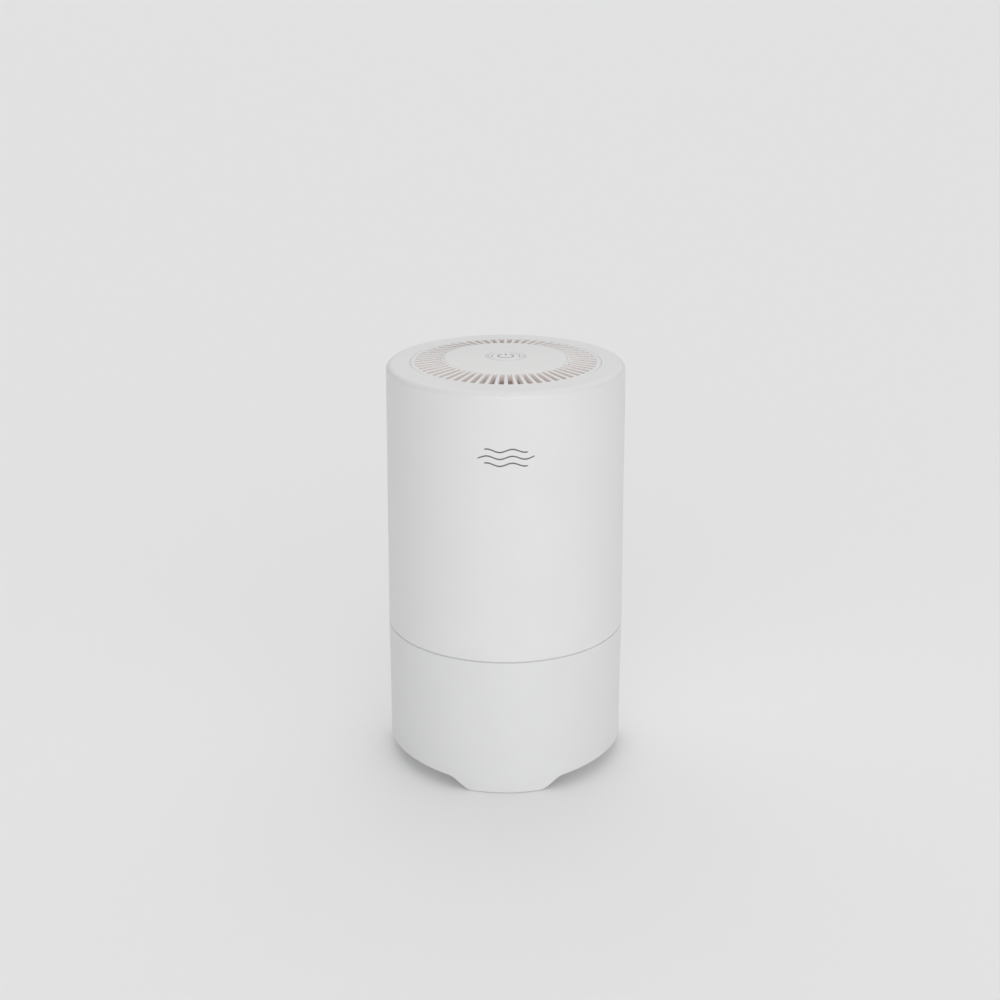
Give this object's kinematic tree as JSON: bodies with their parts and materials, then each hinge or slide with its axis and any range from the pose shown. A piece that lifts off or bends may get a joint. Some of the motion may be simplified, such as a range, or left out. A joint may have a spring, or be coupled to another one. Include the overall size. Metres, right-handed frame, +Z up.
{
  "type": "air purifier",
  "caption": "White cylindrical desktop air purifier with a domed radial outlet grille, a push button, a twist-off base and a pleated filter under a centrifugal fan.",
  "frame": {"origin": "on the floor under the centre of the body, at the underside of the foot pads", "axes": "+Z up along the body's axis, -Y to the front, +X to the right as seen from the front"},
  "size_m": [0.15, 0.15, 0.2613],
  "materials": {
    "shell_plastic": "satin",
    "trim_plastic": "satin",
    "inner_plastic": "satin",
    "fan_plastic": "satin",
    "pad_rubber": "matte",
    "filter_paper": "matte",
    "carbon_fleece": "matte",
    "white_net": "matte",
    "gasket_foam": "matte",
    "green_ribbon": "woven",
    "light_diffuser": "frosted",
    "circuit_board": "lacquered",
    "black_plastic": "satin",
    "lead_sheath": "satin",
    "steel": "plated",
    "motor_windings": "enamelled"
  },
  "bodies": {
    "base": {"base_shell": "shell_plastic", "intake_floor": "inner_plastic", "bayonet_ring": "inner_plastic", "foot_pad_front": "pad_rubber", "foot_pad_right": "pad_rubber", "foot_pad_left": "pad_rubber", "floor_screw_front": "steel", "floor_screw_right": "steel", "floor_screw_left": "steel"},
    "screen": {"screen_frame": "fan_plastic", "screen_mesh": "white_net"},
    "filter": {"filter_bottom_cap": "trim_plastic", "filter_top_cap": "trim_plastic", "filter_media": "filter_paper", "filter_core": "trim_plastic", "carbon_sleeve": "carbon_fleece", "filter_net": "white_net", "filter_gasket": "gasket_foam", "filter_pull_tab": "green_ribbon"},
    "housing": {"upper_housing": "shell_plastic", "lock_ring": "inner_plastic", "top_grille": "shell_plastic", "control_disc": "trim_plastic", "light_ring": "light_diffuser", "control_board": "circuit_board", "tact_switch": "black_plastic", "controller_chip": "black_plastic", "power_connector": "trim_plastic", "fan_connector": "trim_plastic", "board_screw_1": "steel", "board_screw_2": "steel", "board_screw_3": "steel", "fan_cup": "fan_plastic", "inlet_guard": "inner_plastic", "fan_duct": "fan_plastic", "duct_screw_1": "steel", "duct_screw_2": "steel", "duct_screw_3": "steel", "cup_screw_1": "steel", "cup_screw_2": "steel", "cup_screw_3": "steel", "motor_base": "steel", "motor_stator": "motor_windings", "lower_bearing": "steel", "upper_bearing": "steel", "motor_screw_1": "steel", "motor_screw_2": "steel", "motor_screw_3": "steel", "dc_socket": "black_plastic", "supply_lead": "lead_sheath", "fan_lead": "lead_sheath", "lead_clip_lower": "inner_plastic", "lead_clip_upper": "inner_plastic"},
    "fan": {"impeller": "fan_plastic", "motor_rotor": "steel", "motor_shaft": "steel", "hub_nut": "steel"},
    "button": {"power_button": "trim_plastic"},
    "plunger": {"switch_plunger": "black_plastic"}
  },
  "joints": [
    {"name": "housing_twist", "type": "hinge", "parent": "base", "child": "screen", "pos_m": [0, 0, 0.0875], "axis": [0, 0, 1], "range_deg": [-26, 0]},
    {"name": "housing_lift", "type": "slide", "parent": "screen", "child": "housing", "axis": [0, 0, 1], "range_m": [0, 0.25]},
    {"name": "filter_lift", "type": "slide", "parent": "screen", "child": "filter", "axis": [0, 0, 1], "range_m": [0, 0.125]},
    {"name": "fan_spin", "type": "hinge", "parent": "housing", "child": "fan", "pos_m": [0, 0, 0.17], "axis": [0, 0, 1], "continuous": true},
    {"name": "button_press", "type": "slide", "parent": "housing", "child": "button", "axis": [0, 0, -1], "range_m": [0, 0.0005], "stiffness_N_per_m": 600, "springref_m": -0.0015},
    {"name": "plunger_press", "type": "slide", "parent": "housing", "child": "plunger", "axis": [0, 0, -1], "range_m": [0, 0.0005]}
  ],
  "couplings": [
    {"joint": "filter_lift", "follows": "housing_lift", "ratio": 0.5},
    {"joint": "plunger_press", "follows": "button_press", "ratio": 1}
  ]
}
